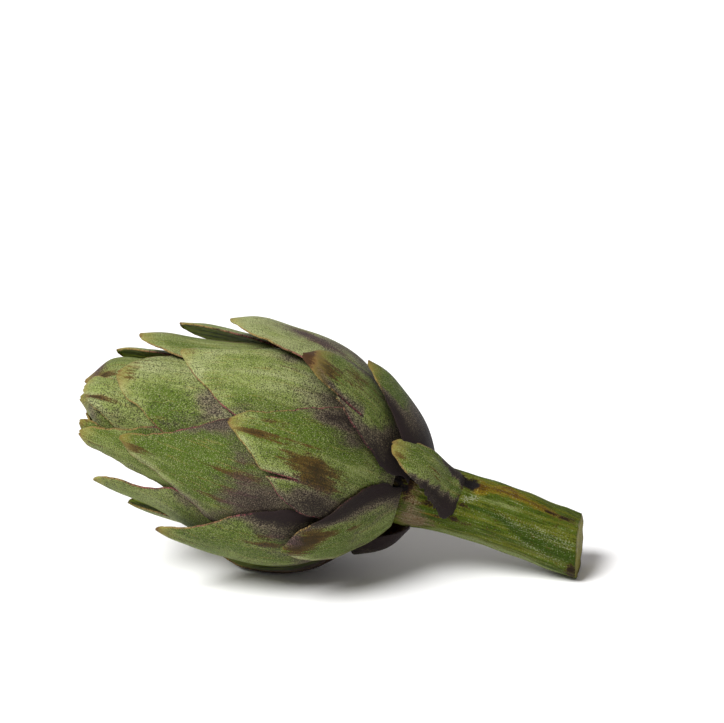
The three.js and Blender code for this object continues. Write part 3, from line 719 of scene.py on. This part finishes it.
def budCore(material):
    # the young heart leaves pressed together under the last bracts
    rings, around = budMake["rings"], budMake["around"]
    places = np.linspace(budMake["coreFrom"], budMake["coreTo"], rings)
    layer = budMake["coreLayer"] + 2 * smooth((places - 0.9) / 0.08)
    spots = np.array([spinePoint(n, np.array([t]))[0][0] for n, t in zip(layer, places)])
    turn = np.linspace(0, 2 * math.pi, around, endpoint=False)
    radius = np.maximum(spots[:, 1:], 0.6) * (1 + 0.03 * np.cos(5 * turn + 0.06 * spots[:, :1]))
    points = headPoint(spots[:, :1], radius, turn).reshape(-1, 3)
    faces = ringFaces(rings, around)
    faces.append(list(range(around))[::-1])
    faces.append([(rings - 1) * around + i for i in range(around)])
    fromTip = np.repeat(places[-1] - places, around) * head["outlineLength"]
    marks = {
        "leafPlace": leafPlace((radius * turn).ravel(), fromTip, 990.0), "fromTip": fromTip + 6,
        "edge": 9, "tone": 0.5, "purple": 0.2, "dry": 0, "scarred": 0, "innerFace": 0,
    }
    return makeMesh("bud_core", points, faces, marks, material)


budPieces = [budCore(bractSkin)]
for number in range(head["bractCount"] + 1, budMake["lastBract"] + 1):
    budPieces.append(bractBlade(f"bud_leaf_{number:02d}", number, bractSkin))
for piece in budPieces:
    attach(piece, "root")
    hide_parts("bud")
print("bud made")

# stem

stem = {
    "length": 66.5, "radius": 12.0, "ribs": 11, "ribDepth": 0.5, "cutTurn": 6.0, "heartEnd": 0.36,
    "rings": 150, "around": 176, "cutRings": 14, "heartRings": 24, "lineUpFrom": 20, "lineUpOver": 46.5,
    "hollows": [
        # a hollow where a leaf came away, and a raised collar below it
        (20.5, 70, 3.2, 12, -0.9), (25, 66, 1.4, 14, 0.4), (20, 25, 1.5, 34, 0.45), (18, 90, 7, 5, 0.4),
        # slimmer in the middle below, fuller under the head
        (26, -60, 14, 40, -0.9), (3, -50, 6, 36, 1.3),
    ],
    # fuller in front and flattened above towards the cut: height, start, length, round in degrees, width
    "swells": [(1.9, 44, 20, -38, 36), (-2, 44, 16, 88, 38), (-1.2, 60, 7, 88, 38)],
    "collar": 0.5, "waist": 0.25, "waves": (0.12, 0.1, 0.08),
}
stemFront = unit(headFront - stemWay * headFront.dot(stemWay))
stemAbove = np.cross(stemFront, stemWay)
if stemAbove[2] < 0:
    stemAbove = -stemAbove
cutNormal = np.array([math.cos(stem["cutTurn"] * degree), -math.sin(stem["cutTurn"] * degree), 0])

# patches: along in mm, round in degrees, length, width, strength
# stripes: strength, then the path: along in mm, round in degrees, width in degrees
stemMarks = {
    "rubbed": {
        "patches": [(25, 58, 3, 8, 0.8), (30, -120, 20, 12, 0.7), (8, 150, 9, 20, 0.6), (12, -10, 5, 3, 0.9)],
        "stripes": [(1, [(25, 68, 16), (30, 74, 15), (38, 78, 17), (50, 70, 14), (58, 66, 10)])],
    },
    "bruised": {
        "patches": [
            (65.5, -30, 3.2, 13, 0.95), (18.5, -4, 2.6, 6, 0.9), (23, -9, 1.6, 3, 0.8),
            (12, -10, 3, 2.5, 0.7), (20, 24, 2.4, 4, 0.9), (62, 150, 4, 8, 0.9), (40, -95, 4, 4, 0.7),
            (9, 10, 3, 7, 0.8),
        ],
        "stripes": [(0.95, [(55, 64, 6), (58, 64, 8), (63, 66, 11)])],
    },
    "blackened": {"stripes": [(1.05, [(11, 86, 10), (16, 76, 14), (20, 69, 17), (22.5, 68, 15)])]},
    "torn": {"patches": [(21, 36, 3.6, 9, 0.8), (17.5, 50, 1.6, 6, 0.7), (24, 44, 2.4, 8, 0.4)]},
    "pink": {"patches": [(7, -35, 8, 28, 0.9), (3, 20, 4, 40, 0.7), (6, 170, 6, 40, 0.6)]},
    # greyer and paler low on the front; the patch on the upper front ridge is a painted sheen
    "greyedAndSheen": {"patches": [(24, -58, 16, 26, 1), (48, -62, 18, 24, 1), (34, 46, 14, 9, 0.7)]},
    "vivid": {
        "stripes": [(1.25, [(24, 26, 3), (29, 26, 4), (37, 20, 6), (46, 4, 11), (56, -3, 13), (66, -7, 12)])],
    },
    "scurf": {
        "stripes": [
            (0.9, [(36, 27, 4), (41, 19, 6), (51, 19, 9), (63, 14, 12)]),
            (0.7, [(44, -3, 4), (54, -16, 5), (60, -20, 5)]),
        ],
    },
}

# peeled stem skin: stringy green fibres with a waxy face, rubbed brown where leaves were cut away
stemLook = {
    "colours": {
        "green": "#44530f", "yellow": "#69691f", "deep": "#293e05", "grey": "#7d8854", "pink": "#6f5a49",
        "ochre": "#7d6b17", "rust": "#4c310a", "redBrown": "#331d12", "brown": "#21160f", "black": "#110e10",
        "pale": "#8f9a66", "crust": "#93977a", "pore": "#1d1f07",
        "cutFlesh": "#6f6a1e", "cutPale": "#959046", "cutStrand": "#4c4714",
    },
    "marks": (*stemMarks, "cut", "cutRadius"),
    "grains": {
        "patch": (13, 30, 2), "band": (2.2, 50, 2), "fibre": (0.6, 9, 3), "mottle": (1.8, 3, 3),
        "speck": (0.4, 0.6, 2), "fleck": (0.4, 0.7, 2),
    },
    "fields": {
        "shade": ("patch", {"band": 0.6}),
        "streaked": ("vivid", {"band": 2.2, "fibre": 1.2}),
        "hazedAndSheen": ("greyedAndSheen", {"mottle": 0.5, "fibre": 1, "band": 0.7}),
        "pinked": ("pink", {"mottle": 0.9, "fibre": 1}),
        "rub": ("rubbed", {"mottle": 1.2, "fibre": 1, "speck": 0.8, "band": 0.8}),
        "rubDeep": ("rub", {"band": 0.9, "fibre": 0.7}),
        "flecked": ("fleck", {"scurf": 0.12, "fibre": 0.3, "speck": -0.3}),
        "pits": ("speck", {"fibre": -0.6}),
        "bruise": ("bruised", {"mottle": 2, "speck": 2, "fibre": 1}),
        "charred": ("blackened", {"mottle": 1.6, "speck": 1}),
        "frayed": ("torn", {"mottle": 1.2, "fleck": 2}),
        "cutRing": ("cutRadius", {"mottle": 0.5}),
        "relief": (0.0, {"speck": -0.6, "fibre": 1.1, "fleck": 0.6, "band": 1.8, "mottle": 0.5}),
    },
    "skins": {
        # dry yellow flesh, a ring of tougher strands under the rim
        "cutFace": ("cutFlesh", [
            ("speck", 0.35, 0.65, 1, "cutPale"),
            ("cutRing", 0.7, 0.85, 0.7, "cutStrand"),
        ]),
        "whole": ("green", [
            ("band", 0.4, 0.62, 0.6, "yellow"),
            ("shade", 0.5, 0.34, 0.4, "deep"),
            ("streaked", 0.1, 1, 0.85, "deep"),
            ("fibre", 0.5, 0.32, 0.5, "deep"),
            ("fibre", 0.56, 0.72, 0.25, "pale"),
            # grey haze low on the front, and the painted sheen on the upper front ridge
            ("hazedAndSheen", 0.3, 0.9, 0.75, "grey"),
            ("pinked", 0.3, 0.9, 0.8, "pink"),
            ("rub", 0.2, 0.8, 0.85, "ochre"),
            ("rubDeep", 0.55, 1.15, 0.85, "rust"),
            # waxy scurf: pale flecks drawn along the fibres, thickest near the cut, with dark pits between
            ("flecked", 0.58, 0.74, 0.6, "crust"),
            ("pits", 0.5, 0.7, 0.7, "pore"),
            ("bruise", 0.25, 0.6, 0.6, "rust"),
            ("bruise", 0.5, 0.85, 0.95, "brown"),
            ("charred", 0.25, 0.6, 0.75, "redBrown"),
            ("charred", 0.5, 0.75, 0.97, "black"),
            # torn pale fibres round the foot of the leaf
            ("frayed", 0.5, 0.9, 0.8, "crust"),
            ("cut", 0, 1, 1, "cutFace"),
        ]),
    },
    "bump": {"Strength": 0.85, "Distance": 0.0005},
    "surface": {"Roughness": 0.55, "IOR": 1.42, "Specular IOR Level": 0.1},
}


def streak(run, turn, path):
    # soft stripe through the places of its path
    along, around, width = np.array(path, float).T
    ends = smooth((run - along[0] + 4) / 4) * smooth((along[-1] + 4 - run) / 4)
    return ends * bell(turn - np.interp(run, along, around), np.interp(run, along, width))


def stemRadius(spot, turn):
    # how far one ring of the skin stands off the axis: ribs, waves, hollows and a broad, rounded cut end
    turnDegrees = turn / degree
    ribTurn = turn + 0.05 * np.sin(3 * turn + 1)
    ribShape = (np.cos(ribTurn * stem["ribs"] + 0.02 * spot) - 1) / 2
    ribHeight = stem["ribDepth"] * (0.7 + 0.3 * np.sin(turn * 2 + 0.6) * np.cos(turn * 3))
    reach = stem["radius"] + stem["collar"] * smooth((12 - spot) / 10)
    reach -= stem["waist"] * smooth((spot - 30) / 20)
    reach += ribHeight * smooth(spot / 8) * ribShape
    fine, broad, short = stem["waves"]
    reach += fine * np.sin(turn * 29 + 0.06 * spot + 1.3) * smooth(spot / 6)
    reach += broad * np.sin(spot / 5.5 + 2 * np.sin(turn)) + short * np.sin(spot / 2.3 + 3 * turn)
    reach += patchSum(spot, turnDegrees, stem["hollows"])
    for height, start, length, side, width in stem["swells"]:
        reach += height * smooth((spot - start) / length) * bell(turnDegrees - side, width)
    return reach


def stemPiece(material):
    around, cutRings, length = stem["around"], stem["cutRings"], stem["length"]
    turn = np.linspace(-math.pi, math.pi, around, endpoint=False)
    rings, runs = [], []
    # hidden in the head
    for place in np.linspace(stem["heartEnd"], 0, stem["heartRings"] + 1):
        along, radius = alongCurve(head["heart"], place)
        rings.append(headPoint(along, radius, turn))
        runs.append(-along)
    # from the head's axis to the stem's own, ending square to the cut
    cutPoint = neck + stemWay * length
    for spot in np.linspace(1, length, stem["rings"]):
        way = smooth((spot - 1) / 8)
        direction = unit(between(-headAxis, stemWay, way))
        front = unit(between(headFront, stemFront, way))
        above = unit(between(headAbove, stemAbove, way))
        ring = neck + spot * direction + roundAxis(stemRadius(spot, turn), turn, front, above)
        slide = (cutPoint - ring) @ cutNormal / stemWay.dot(cutNormal) + spot - length
        lineUp = smooth((spot - stem["lineUpFrom"]) / stem["lineUpOver"])
        rings.append(ring + stemWay * (slide * lineUp)[:, None])
        runs.append(spot)
    # the cut face, dished and a little uneven inside a rounded rim
    rim = rings[-1]
    centre = rim.mean(axis=0)
    for k, share in enumerate(np.linspace(1, 0, cutRings + 2)[1:-1], 1):
        rounded = 0.35 * (1 - smooth((share - 0.8) / 0.2))
        dish = 0.18 * np.sin(7 * turn + 9 * share) * share + 0.12 * np.sin(13 * turn - 4 * share) * share
        edgeOut = 0.35 * math.sin(math.pi * min((1 - share) / 0.16, 1))
        rings.append(between(centre, rim, share) + cutNormal * 0.6 * (rounded + dish + edgeOut)[:, None])
        runs.append(length + 0.01 * k)
    first = len(rings) * around
    points = np.concatenate([*rings, [rings[0].mean(axis=0)], [centre + cutNormal * 0.2]])
    points[:, 2] = np.maximum(points[:, 2], floorGap)
    faces = ringFaces(len(rings), around)
    for i in range(around):
        j = (i + 1) % around
        faces.append([first, j, i])
        faces.append([first + 1, first - around + i, first - around + j])

    run = np.append(np.repeat(runs, around), [runs[0], runs[-1]])
    turnAll = np.append(np.tile(turn / degree, len(rings)), [0, 0])
    marks = {"leafPlace": leafPlace(turnAll * degree * stem["radius"], run, 500.0)}
    for mark, shapes in stemMarks.items():
        marks[mark] = patchSum(run, turnAll, shapes.get("patches", []))
        for strength, path in shapes.get("stripes", []):
            marks[mark] += strength * streak(run, turnAll, path)
    # dark on top next to the head
    onTop = smooth((turnAll + 5) / 25)
    marks["bruised"] += 0.7 * smooth((7 - run) / 5) * onTop
    marks["blackened"] += 0.4 * smooth((4 - run) / 4) * onTop + 0.35 * smooth((2 - run) / 2)
    cutFirst = first - cutRings * around
    marks["cut"] = (np.arange(len(points)) >= cutFirst).astype(float)
    marks["cut"][first] = 0
    cutShare = np.repeat(np.linspace(1, 0, cutRings + 1)[1:], around)
    marks["cutRadius"] = np.concatenate([np.zeros(cutFirst), cutShare, [1, 0]])
    return makeMesh("stem_skin", points, faces, marks, material)


stemSkin = makeSkin("stem_fibre_skin", stemLook)
piece = stemPiece(stemSkin)
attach(piece, "root")
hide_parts("stem")
print("stem made")

# leaf left on the stem

# low, high: half widths by share of the length; greenLow, greenHigh: how far across the green part reaches
stemLeaf = {
    "footRun": 19.0, "footTurn": 46.0, "footRise": 0.7, "tipAlong": 8.0, "tipRadius": 30.0, "tipTurn": 50.0,
    "bulge": 2.0, "rows": 64, "columns": 41, "middle": 1.5, "margin": 0.6, "sunk": 1.2, "fold": 2.4,
    "tear": [(9, 0.9), (4.1, 0.6), (1.9, 0.35)],
    "low": {0: 9, 0.06: 11, 0.15: 11.4, 0.3: 9.6, 0.5: 8.6, 0.7: 7.2, 0.85: 5, 0.95: 3.2, 1: 2},
    "high": {0: 8, 0.12: 7.2, 0.25: 6.8, 0.5: 6.4, 0.7: 5.6, 0.85: 4.2, 0.95: 2.8, 1: 1.8},
    "greenLow": {0: -1, 0.08: -1.5, 0.18: -1.2, 0.36: -2.6, 0.5: -4, 0.74: -5, 0.86: -6, 1: -9},
    "greenHigh": {0: 1.2, 0.11: 1.6, 0.3: 3.4, 0.46: 5.6, 0.56: 8, 1: 12},
    "scars": [(19, -2, 4, 2, 0.8), (3.5, -3, 3, 1.6, 0.9)],
}


def stemLeafPiece(material):
    make = stemLeaf
    rows, columns = make["rows"], make["columns"]
    footTurn = make["footTurn"] * degree
    outward = stemFront * math.cos(footTurn) + stemAbove * math.sin(footTurn)
    start = neck + stemWay * make["footRun"] + outward * (stem["radius"] + make["footRise"])
    way = headPoint(make["tipAlong"], make["tipRadius"], make["tipTurn"] * degree) - start
    run = np.linalg.norm(way)
    way = unit(way)
    lift = unit(outward - way * outward.dot(way))
    sideways = np.cross(lift, way)
    if sideways.dot(stemAbove) < 0:
        sideways = -sideways
    share = np.linspace(0, 1, rows)[:, None]
    side = np.linspace(-1, 1, columns)

    # the low margin is torn, the tip rounded
    draw = np.random.default_rng(41)
    tear = np.abs(wander(draw, share * run, make["tear"])) * smooth((0.75 - share) / 0.5)
    rounded = np.where(share < 0.93, 1, np.sqrt(np.clip(1 - ((share - 0.93) / 0.075) ** 2, 0.02, 1)))
    low, high, greenLow, greenHigh = (
        valueAt(share, make[reach]) for reach in ("low", "high", "greenLow", "greenHigh"))
    half = np.where(side < 0, low * rounded - tear, high * rounded)
    across = half * side

    # wrapped round the stem at the foot, free and folded towards the tip
    middleLine = start + way * run * share + lift * make["bulge"] * np.sin(math.pi * share)
    fold = make["fold"] * side**2 * (1 - 0.4 * share) + 0.25 * np.sin(across * 1.9) * smooth(share * 6)
    flat = middleLine[:, None, :] + sideways * across[..., None] - lift * fold[..., None]
    clasp = stem["radius"] - make["sunk"] + (make["footRise"] + make["sunk"]) * smooth(share / 0.1)
    clasp += 3 * smooth(share / 0.5)
    wrapped = neck + stemWay * (make["footRun"] - run * 0.9 * share)[..., None]
    wrapped = wrapped + roundAxis(clasp, footTurn + across / stem["radius"], stemFront, stemAbove)
    points = between(wrapped, flat, smooth(share / 0.55)[..., None]).reshape(-1, 3)
    faces = gridFaces(np.arange(rows * columns).reshape(rows, columns)).reshape(-1, 4)
    thick = np.tile(between(make["margin"], make["middle"], 1 - side**2), rows)

    # outside the green band the flanks are painted dark purple: partly dried scar, partly painted shade on
    # the far side of the folded leaf
    waver = 0.5 * np.sin(share * 40) + 0.3 * np.sin(share * 90 + across)
    scarAndShadeFlank = np.maximum(smooth((greenLow - across + waver) / 4), 0.9 * smooth((across - greenHigh + waver) / 2))
    edge = (half - np.abs(across) + scarAndShadeFlank).ravel()
    across = across.ravel()
    fromTip = np.repeat(run * (1 - share), columns)
    marks = {
        "leafPlace": leafPlace(across, fromTip, 700.0), "fromTip": fromTip, "edge": edge,
        "tone": 0.35, "purple": 1.5 * scarAndShadeFlank.ravel(), "dry": 0.3,
        "scarred": patchSum(fromTip, across, make["scars"]) + 0.8 * smooth((fromTip - run + 3.5) / 3),
    }
    return makeBlade("stem_leaf_skin", points, faces, lift, thick, marks, material)


piece = stemLeafPiece(bractSkin)
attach(piece, "root")
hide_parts("stem_leaf")
print("stem leaf made")

# floor and light

# matt white paper, which only catches the soft shadow
floorLook = {"Base Color": colour("#f4f4f4"), "Roughness": 0.9, "IOR": 1.4, "Specular IOR Level": 0.3}
floorMaterial, floorTree = startMaterial("white_paper_sweep")
add(floorTree, "ShaderNodeOutputMaterial", {0: add(floorTree, "ShaderNodeBsdfPrincipled", floorLook)})
floorCorners = 1000.0 * np.array([(-6, -4, 0), (6, -4, 0), (6, 8, 0), (-6, 8, 0)])
floor = makeMesh("floor", floorCorners, [(0, 1, 2, 3)], {}, floorMaterial)

lightSet = {
    "key": {"from": (-0.46, -0.43, 0.78), "spread": 30.0, "strength": 4.6},
    "back": {"from": (-0.2, 0.9, 0.55), "spread": 60.0, "strength": 0.5},
}
for name, light in lightSet.items():
    data = bpy.data.lights.new(name, "SUN")
    data.angle = light["spread"] * degree
    data.energy = light["strength"]
    lamp = putObject(name, data)
    lamp.rotation_euler = (-Vector(light["from"])).to_track_quat("-Z", "Y").to_euler()

studioAir = {"colour": (1, 0.94, 0.935, 1), "strength": 0.255}
world = bpy.data.worlds.new("studio")
bpy.context.scene.world = world
world.use_nodes = True
backdrop = world.node_tree.nodes["Background"]
backdrop.inputs[0].default_value = studioAir["colour"]
backdrop.inputs[1].default_value = studioAir["strength"]
bpy.context.scene.view_settings.view_transform = "Standard"
bpy.context.scene.view_settings.look = "None"
